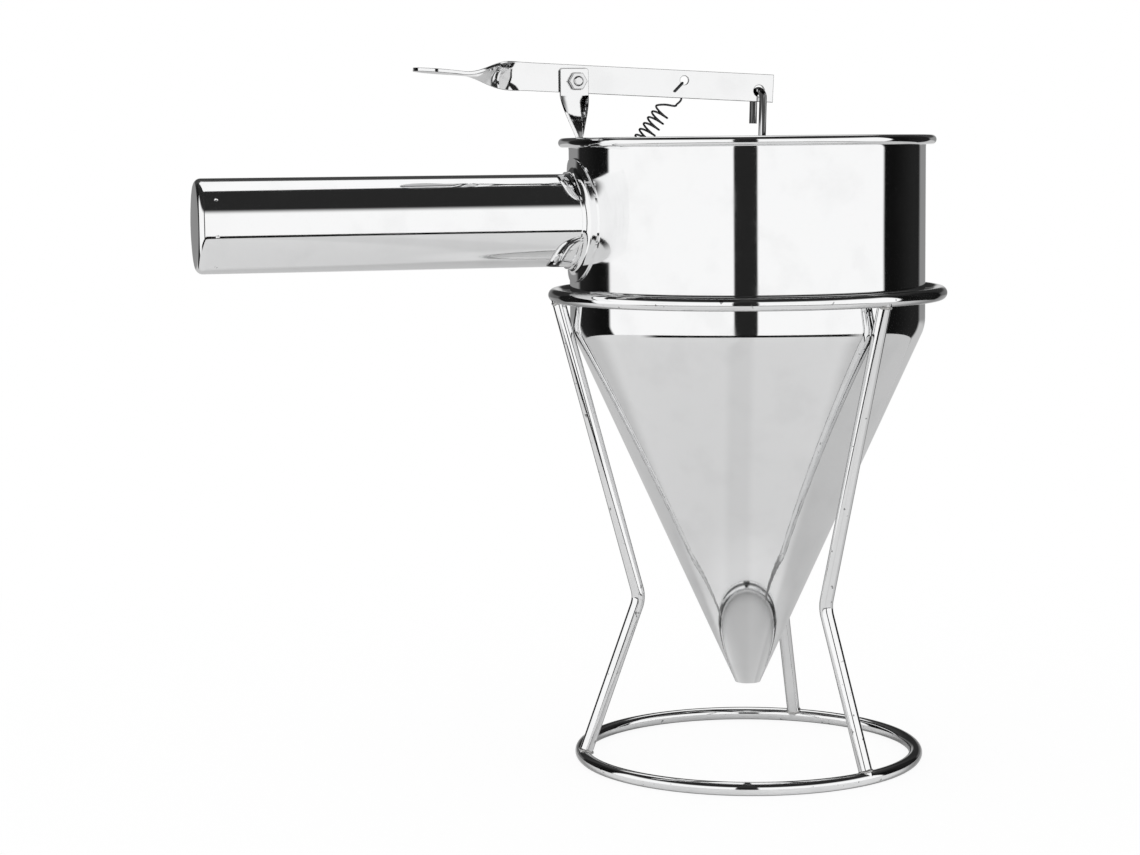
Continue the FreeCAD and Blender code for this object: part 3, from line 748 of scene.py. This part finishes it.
def leg_path(s):
    """One leg, from inside the top ring round its knee to inside the base ring."""
    top = Vector((s.ring_radius, 0, s.ring_height))
    knee = Vector((s.knee_radius, 0, s.knee_height))
    foot = Vector((s.base_radius, 0, s.wire / 2))
    up, down = (top - knee).normalized(), (foot - knee).normalized()
    half = up.angle(down) / 2
    reach = s.knee_bend / math.tan(half)
    inward = (up + down).normalized()
    centre = knee + inward * (s.knee_bend / math.sin(half))
    first, last = knee + up * reach - centre, knee + down * reach - centre
    steps = 16
    whole = first.angle(last)
    bend = []
    for i in range(steps + 1):
        share = i / steps
        spread = math.sin((1 - share) * whole), math.sin(share * whole)
        bend.append(centre + (first * spread[0] + last * spread[1]) / math.sin(whole))
    return joined(run(top, bend[0]), bend, run(bend[-1], foot)), up, down


class DISPENSER_OT_stand(bpy.types.Operator):
    """Bends the stand's rings and legs, and welds them"""
    bl_idname = "dispenser.stand"
    bl_label = "Wire stand"

    def execute(self, context):
        s = settings().dispenser_stand
        facets, sides = 240, 32
        weld_out, weld_lump = 0.46, 2.4
        tree = tree_named("bent_wire", bent_wire_tree)
        turn = Matrix.Rotation(s.first_leg, 4, "Z")
        for name, radius, height, node in (
            ("top_ring", s.ring_radius, s.ring_height, "stand_top_ring"),
            ("base_ring", s.base_radius, s.wire / 2, "stand_base_ring"),
        ):
            turns = [math.tau * i / facets for i in range(facets)]
            points = [Vector((radius * math.cos(t), radius * math.sin(t), height)) for t in turns]
            ring = path_mesh(name, points, True)
            values = {"Diameter": s.wire, "Sides": sides, "Copies": 1, "Material": finish("wire")}
            made_by_tree(ring, tree, values)
            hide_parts(node)
            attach(ring, "stand")
        path, up, down = leg_path(s)
        legs = path_mesh("legs", [turn @ p for p in path], False)
        values = {"Diameter": s.wire, "Sides": sides, "Copies": s.legs, "Material": finish("wire")}
        made_by_tree(legs, tree, values)
        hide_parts(*[f"stand_leg_{i + 1}" for i in range(s.legs)])
        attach(legs, "stand")

        places, ways = [], []
        for number in range(s.legs):
            round_way = Matrix.Rotation(s.first_leg + math.tau * number / s.legs, 4, "Z")
            for end, way in ((path[0], -up), (path[-1], -down)):
                places.append(round_way @ (end + way * (s.wire * weld_out)))
                ways.append(round_way.to_3x3() @ way)
        beads = path_mesh("welds", places, False)
        attribute = beads.data.attributes.new("way", "FLOAT_VECTOR", "POINT")
        attribute.data.foreach_set("vector", [c for way in ways for c in way])
        values = {"Radius": s.wire / 2 + s.weld, "Lump": s.weld * weld_lump, "Material": finish("weld")}
        made_by_tree(beads, tree_named("weld_beads", weld_tree), values, sharp=80.0)
        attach(beads, "stand")
        return {"FINISHED"}


def smooth_way(route, steps=9):
    """Points along cubic curves through places with headings, which follow an arc where both ends lie
    on one."""
    points = [route[0][0]]
    for (start, start_way), (end, end_way) in zip(route, route[1:]):
        span = (end - start).length
        turn = start_way.angle(end_way)
        pull = span if turn < 1e-4 else span * 2 * math.tan(turn / 4) / math.sin(turn / 2)
        for i in range(1, steps + 1):
            t = i / steps
            share = 3 * t ** 2 - 2 * t ** 3
            leaving, arriving = t ** 3 - 2 * t ** 2 + t, t ** 3 - t ** 2
            place = start * (1 - share) + end * share
            points.append(place + start_way * (pull * leaving) + end_way * (pull * arriving))
    return points


def spring_route(s, lever):
    """Places and headings along the spring, from under the tab to its end before the lever."""
    X, Y, Z = Vector((1, 0, 0)), Vector((0, 1, 0)), Vector((0, 0, 1))
    rim_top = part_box("funnel_bowl")[1].z
    wall = settings().dispenser_funnel.bowl_radius - settings().dispenser_funnel.sheet
    pivot = Vector((-lever.pivot_out, 0, rim_top + lever.pivot_above))
    bracket_y = -(lever.thickness / 2 + lever.side_gap + lever.bracket / 2)
    axis = Vector((math.cos(s.slope), 0, math.sin(s.slope)))
    side = Vector((-math.sin(s.slope), 0, math.cos(s.slope)))
    climb = math.atan2(s.pitch, math.tau * s.radius)
    wide = math.atan2(s.last_half_turn, math.pi * s.radius)
    seat = 0.15 * MM

    def in_lever(along, above):
        c, n = math.cos(lever.tilt), math.sin(lever.tilt)
        return pivot + X * (along * c + above * n) + Z * (above * c - along * n)

    def on_coil(centre, angle):
        return centre + (Y * math.cos(angle) + side * math.sin(angle)) * s.radius

    def heading(angle, rise):
        round_way = side * math.cos(angle) - Y * math.sin(angle)
        return (round_way * math.cos(rise) + axis * math.sin(rise)).normalized()

    hole = in_lever(lever.hole_along, lever.hole_above)
    crossing = hole - axis * (lever.spring_hole - s.wire / 2 - seat)
    face = lever.thickness / 2 + lever.side_gap + s.wire / 2 + seat
    tab_hole = Vector((-wall + lever.tab_from_wall, bracket_y, rim_top - lever.tab_below_rim))
    tab_top = tab_hole.z + lever.bracket / 2
    top_centre = hole - axis * s.top_from_hole
    body_top = top_centre - axis * s.last_half_turn
    through_x = tab_hole.x + lever.spring_hole - s.wire / 2 - seat
    under_z = tab_top - lever.bracket - s.hook_bend
    under = Vector((through_x + s.hook_bend, bracket_y, under_z))
    route = [
        (under + X * (s.hook_end / 2), -X),
        (under, -X),
        (Vector((through_x, bracket_y, under_z + s.hook_bend)), Z),
        (Vector((through_x, bracket_y, tab_top + s.wire)), Z),
    ]
    distance = (body_top - Vector((through_x, 0, tab_top))).dot(axis)
    turns = math.floor((distance - s.radius - 2 * s.wire) / s.pitch)
    for half_turn in range(2 * turns + 1):
        angle = math.pi / 2 + math.pi * half_turn
        centre = body_top - axis * (s.pitch * (turns - half_turn / 2))
        route.append((on_coil(centre, angle), heading(angle, climb)))
    route += [
        (on_coil(top_centre - axis * (s.last_half_turn / 2), math.pi), heading(math.pi, wide)),
        (on_coil(top_centre, 1.5 * math.pi), heading(1.5 * math.pi, wide)),
    ]
    low_edge = in_lever(lever.hole_along, lever.above_pivot - lever.height / 2)
    down = Vector((-1, 0, -1)).normalized()
    front = crossing - Y * face + down * s.hook_bend
    route += [
        (Vector((crossing.x, face, low_edge.z)), Z),
        (Vector((crossing.x, face, crossing.z - s.hook_bend)), Z),
        (crossing + Y * (face - s.hook_bend), -Y),
        (crossing - Y * (face - s.hook_bend), -Y),
        (front, down),
        (front + down * s.hook_end, down),
    ]
    return route, Vector((through_x, bracket_y, tab_top)), top_centre


class DISPENSER_OT_spring(bpy.types.Operator):
    """Winds the return spring between the bracket's tab and the lever"""
    bl_idname = "dispenser.spring"
    bl_label = "Return spring"

    def execute(self, context):
        s = settings().dispenser_spring
        route, low, high = spring_route(s, settings().dispenser_lever)
        spring = path_mesh("coil_spring", smooth_way(route), False)
        values = {"Diameter": s.wire, "Sides": 16, "Copies": 1, "Material": finish("spring")}
        made_by_tree(spring, tree_named("bent_wire", bent_wire_tree), values, sharp=60.0)
        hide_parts("return_spring")
        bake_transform(spring)
        return {"FINISHED"}


# Stage
CAMERA_PLACE = Vector((-0.30148, -0.97173, 0.23879))
CAMERA_PITCH = math.radians(6.08)
CAMERA_ROLL = math.radians(-0.557)
CAMERA_LENS = 82.81
TOWARDS = Vector((0.2309, 0.9730, 0.0))
RIGHTWARDS = Vector((0.9730, -0.2309, 0.0))


def stage_world(level):
    """A white studio: two white panels in front with a dark gap between them, dark sides and ceiling,
    and behind the object a dark screen between a pale strip over the table and a white one above."""
    world = bpy.data.worlds.new("studio")
    world.use_nodes = True
    tree = world.node_tree
    tree.nodes.clear()
    where = tree.nodes.new("ShaderNodeTexCoord").outputs["Generated"]
    split = tree.nodes.new("ShaderNodeSeparateXYZ")
    tree.links.new(where, split.inputs[0])

    def along(direction):
        node = tree.nodes.new("ShaderNodeVectorMath")
        node.operation = "DOT_PRODUCT"
        tree.links.new(where, node.inputs[0])
        node.inputs[1].default_value = direction
        return node.outputs["Value"]

    def step(value, degrees, soft):
        return ramp(tree, value, math.radians(degrees - soft), math.radians(degrees + soft))

    def times(*values):
        result = values[0]
        for value in values[1:]:
            result = math_node(tree, "MULTIPLY", result, value)
        return result

    def without(value):
        return math_node(tree, "SUBTRACT", 1.0, value)

    panels_turned = 4.5
    gap_light, ceiling_light, side_light = 0.012, 0.016, 0.012
    screen_light, low_back_light, far_back_light, under_light = 0.05, 0.26, 0.45, 0.28
    stray_light = 0.005
    heading = math_node(tree, "ARCTAN2", along(RIGHTWARDS), along(-TOWARDS))
    turn = math_node(tree, "ABSOLUTE", math_node(tree, "ADD", heading, math.radians(panels_turned)))
    rise = math_node(tree, "ARCSINE", split.outputs["Z"])
    gap = without(step(turn, degrees=7.4, soft=0.7))
    front = without(step(turn, degrees=98.0, soft=1.5))
    side = step(turn, degrees=122.0, soft=16.0)
    back = step(math_node(tree, "ABSOLUTE", heading), degrees=142.5, soft=3.0)
    ceiling = step(rise, degrees=35.0, soft=6.5)
    above_table = step(rise, degrees=8.0, soft=3.0)
    above_screen = step(rise, degrees=43.0, soft=2.0)
    overhead = step(rise, degrees=85.0, soft=2.0)
    below_table = without(step(rise, degrees=-5.0, soft=2.0))
    far_back = times(step(turn, degrees=172.0, soft=4.0), far_back_light)
    parts = (
        times(front, without(gap), without(ceiling)),
        times(gap, gap_light),
        times(ceiling, ceiling_light),
        times(side, without(back), side_light),
        times(back, above_screen, without(overhead)),
        times(back, above_table, without(above_screen), screen_light),
        times(back, without(above_table), math_node(tree, "ADD", far_back, low_back_light)),
        times(back, below_table, under_light),
    )
    seen = stray_light
    for part in parts:
        seen = math_node(tree, "ADD", part, seen)
    light_path = tree.nodes.new("ShaderNodeLightPath")
    glossy = tree.nodes.new("ShaderNodeMix")
    glossy.inputs["A"].default_value = level
    tree.links.new(light_path.outputs["Is Glossy Ray"], glossy.inputs["Factor"])
    tree.links.new(seen, glossy.inputs["B"])
    camera = tree.nodes.new("ShaderNodeMix")
    camera.inputs["B"].default_value = 1.0
    tree.links.new(light_path.outputs["Is Camera Ray"], camera.inputs["Factor"])
    tree.links.new(glossy.outputs["Result"], camera.inputs["A"])
    background = tree.nodes.new("ShaderNodeBackground")
    background.inputs["Color"].default_value = (1.0, 1.0, 1.0, 1.0)
    output = tree.nodes.new("ShaderNodeOutputWorld")
    tree.links.new(camera.outputs["Result"], background.inputs["Strength"])
    tree.links.new(background.outputs[0], output.inputs["Surface"])
    bpy.context.scene.world = world


def painted_table_light():
    """Painted light for the table, as reflections show it: how much of the studio's light is painted as
    reaching the table, with a painted shadow under the funnel, painted shade at the sides and in a stripe
    before the gap between the panels, and hardly any light on the dark edge in front. Glow is a painted
    light near the axis, standing in for what the funnel's own shadow lets through."""
    tree = bpy.data.node_groups.new("painted_table_light", "ShaderNodeTree")
    tree.interface.new_socket("Place", in_out="INPUT", socket_type="NodeSocketVector")
    tree.interface.new_socket("Lit radius", in_out="INPUT", socket_type="NodeSocketFloat")
    tree.interface.new_socket("Light", in_out="OUTPUT", socket_type="NodeSocketFloat")
    tree.interface.new_socket("Glow", in_out="OUTPUT", socket_type="NodeSocketFloat")
    start, end = tree.nodes.new("NodeGroupInput"), tree.nodes.new("NodeGroupOutput")

    def along(direction):
        node = tree.nodes.new("ShaderNodeVectorMath")
        node.operation = "DOT_PRODUCT"
        tree.links.new(start.outputs["Place"], node.inputs[0])
        node.inputs[1].default_value = direction
        return node.outputs["Value"]

    turn = math_node(tree, "ARCTAN2", along(RIGHTWARDS), along(-TOWARDS))
    other_turn = math_node(tree, "MULTIPLY", turn, -1.0)
    reach = tree.nodes.new("ShaderNodeVectorMath")
    reach.operation = "LENGTH"
    tree.links.new(start.outputs["Place"], reach.inputs[0])
    stripe_left, side_light, under_light, edge_shade, painted_glow_level = 0.027, 0.78, 0.62, 0.99, 0.14
    offset = math_node(tree, "ABSOLUTE", math_node(tree, "ADD", along(RIGHTWARDS), stripe_left))
    # Painted shadow: a slightly darker stripe on the table running towards the camera.
    middle = ramp(tree, offset, first=0.014, last=0.038, low=0.92, high=1.0)
    # Painted shade: the table darker towards its sides.
    right_side = ramp(tree, turn, math.radians(60.0), math.radians(76.0), 1.0, side_light)
    left_side = ramp(tree, other_turn, math.radians(105.0), math.radians(125.0), 1.0, side_light)
    sides = math_node(tree, "MINIMUM", right_side, left_side)
    # Painted shadow inside the base ring, darker towards the back.
    under = ramp(tree, along(-TOWARDS), first=-0.03, last=0.04, low=0.98, high=under_light)
    beyond = ramp(tree, reach.outputs["Value"], first=0.062, last=0.067)
    shadow = math_node(tree, "MAXIMUM", under, beyond)
    # Painted shade: beyond the lit radius, in front, the table's edge gets almost no light.
    past = math_node(tree, "SUBTRACT", reach.outputs["Value"], start.outputs["Lit radius"])
    aside = math_node(tree, "ABSOLUTE", turn)
    in_front = ramp(tree, aside, math.radians(60.0), math.radians(75.0), edge_shade, 0.0)
    edge = math_node(tree, "MULTIPLY", ramp(tree, past, first=0.0, last=0.01), in_front)
    # Painted glow near the funnel's foot, seen only in reflections.
    painted_glow = ramp(tree, reach.outputs["Value"], first=0.060, last=0.110, low=painted_glow_level, high=0.0)
    light = math_node(tree, "MULTIPLY", math_node(tree, "MULTIPLY", middle, sides), shadow)
    light = math_node(tree, "MULTIPLY", light, math_node(tree, "SUBTRACT", 1.0, edge))
    tree.links.new(light, end.inputs["Light"])
    tree.links.new(painted_glow, end.inputs["Glow"])
    return tree


def stage_floor(s):
    """A pale round table top that stays white to the camera and keeps the object's shadow; in reflections
    its colour carries painted shadow and shade, and a painted glow is added.
    """
    mesh = bpy.data.meshes.new("table_top")
    disc = bmesh.new()
    bmesh.ops.create_circle(disc, cap_ends=True, segments=128, radius=s.floor_radius)
    disc.to_mesh(mesh)
    disc.free()
    floor = bpy.data.objects.new("table_top", mesh)
    bpy.context.scene.collection.objects.link(floor)
    material = bpy.data.materials.new("table_top")
    material.use_nodes = True
    tree = material.node_tree
    tree.nodes.clear()
    matt = tree.nodes.new("ShaderNodeBsdfDiffuse")
    place = tree.nodes.new("ShaderNodeTexCoord")
    light = tree.nodes.new("ShaderNodeGroup")
    light.node_tree = painted_table_light()
    light.inputs["Lit radius"].default_value = s.lit_radius
    tree.links.new(place.outputs["Object"], light.inputs["Place"])
    # Only in reflections does the table's colour carry the painted light and shade.
    seen = tree.nodes.new("ShaderNodeMix")
    seen.data_type = "RGBA"
    seen.inputs[6].default_value = tuple(s.floor_colour)
    shaded = tree.nodes.new("ShaderNodeMix")
    shaded.data_type = "RGBA"
    shaded.inputs[6].default_value = (0.0, 0.0, 0.0, 1.0)
    shaded.inputs[7].default_value = tuple(s.floor_colour)
    tree.links.new(light.outputs["Light"], shaded.inputs[0])
    tree.links.new(shaded.outputs[2], seen.inputs[7])
    tree.links.new(seen.outputs[2], matt.inputs["Color"])
    white = tree.nodes.new("ShaderNodeEmission")
    white_share = 0.85
    matt_light = s.floor_colour[0] * s.room_light
    white.inputs["Strength"].default_value = (1 - (1 - white_share) * matt_light) / white_share
    mix = tree.nodes.new("ShaderNodeMixShader")
    output = tree.nodes.new("ShaderNodeOutputMaterial")
    light_path = tree.nodes.new("ShaderNodeLightPath")
    tree.links.new(light_path.outputs["Is Glossy Ray"], seen.inputs[0])
    to_camera = math_node(tree, "MULTIPLY", light_path.outputs["Is Camera Ray"], white_share)
    tree.links.new(to_camera, mix.inputs[0])
    tree.links.new(matt.outputs[0], mix.inputs[1])
    tree.links.new(white.outputs[0], mix.inputs[2])
    # A painted glow, added only in reflections.
    painted_glow = tree.nodes.new("ShaderNodeEmission")
    tree.links.new(light.outputs["Glow"], painted_glow.inputs["Color"])
    tree.links.new(light_path.outputs["Is Glossy Ray"], painted_glow.inputs["Strength"])
    together = tree.nodes.new("ShaderNodeAddShader")
    tree.links.new(mix.outputs[0], together.inputs[0])
    tree.links.new(painted_glow.outputs[0], together.inputs[1])
    tree.links.new(together.outputs[0], output.inputs["Surface"])
    mesh.materials.append(material)


def stage_camera():
    data = bpy.data.cameras.new("camera")
    data.sensor_fit = "HORIZONTAL"
    data.sensor_width = 36.0
    data.lens = CAMERA_LENS
    data.clip_start = 0.01
    camera = bpy.data.objects.new("camera", data)
    bpy.context.scene.collection.objects.link(camera)
    c, n = math.cos(CAMERA_PITCH), math.sin(CAMERA_PITCH)
    forward = TOWARDS * c - Vector((0, 0, n))
    upward = TOWARDS * n + Vector((0, 0, c))
    cr, sr = math.cos(CAMERA_ROLL), math.sin(CAMERA_ROLL)
    across = RIGHTWARDS * cr + upward * sr
    over = upward * cr - RIGHTWARDS * sr
    matrix = Matrix((across, over, -forward)).transposed().to_4x4()
    matrix.translation = CAMERA_PLACE
    camera.matrix_world = matrix
    bpy.context.scene.camera = camera


class DISPENSER_OT_stage(bpy.types.Operator):
    """Sets the table, the studio light and the camera"""
    bl_idname = "dispenser.stage"
    bl_label = "Stage"

    def execute(self, context):
        s = settings().dispenser_stage
        stage_camera()
        stage_world(s.room_light)
        stage_floor(s)
        bpy.context.scene.view_settings.view_transform = "Standard"
        return {"FINISHED"}


class DISPENSER_PT_panel(bpy.types.Panel):
    """Lists the pieces and their sizes"""
    bl_idname = "DISPENSER_PT_panel"
    bl_label = "Batter dispenser"
    bl_space_type = "VIEW_3D"
    bl_region_type = "UI"
    bl_category = "Dispenser"

    def draw(self, context):
        for operator in OPERATORS:
            self.layout.operator(operator.bl_idname)
        for name in GROUPS:
            box = self.layout.box()
            group = getattr(context.scene, name)
            for field in group.bl_rna.properties:
                if field.identifier not in ("rna_type", "name"):
                    box.prop(group, field.identifier)


OPERATORS = (
    DISPENSER_OT_stage,
    DISPENSER_OT_funnel,
    DISPENSER_OT_handle,
    DISPENSER_OT_lever,
    DISPENSER_OT_stand,
    DISPENSER_OT_spring,
)
GROUPS = {
    "dispenser_funnel": FunnelSizes,
    "dispenser_handle": HandleSizes,
    "dispenser_stand": StandSizes,
    "dispenser_spring": SpringSizes,
    "dispenser_lever": LeverSizes,
    "dispenser_finishes": Finishes,
    "dispenser_stage": StageSettings,
}


def register():
    for group in GROUPS.values():
        bpy.utils.register_class(group)
    for operator in OPERATORS:
        bpy.utils.register_class(operator)
    bpy.utils.register_class(DISPENSER_PT_panel)
    for name, group in GROUPS.items():
        setattr(bpy.types.Scene, name, bpy.props.PointerProperty(type=group))


def unregister():
    for name in GROUPS:
        delattr(bpy.types.Scene, name)
    bpy.utils.unregister_class(DISPENSER_PT_panel)
    for operator in reversed(OPERATORS):
        bpy.utils.unregister_class(operator)
    for group in reversed(list(GROUPS.values())):
        bpy.utils.unregister_class(group)


def main():
    register()
    for operator in OPERATORS:
        group, name = operator.bl_idname.split(".")
        getattr(getattr(bpy.ops, group), name)()


if __name__ == "__main__":
    main()
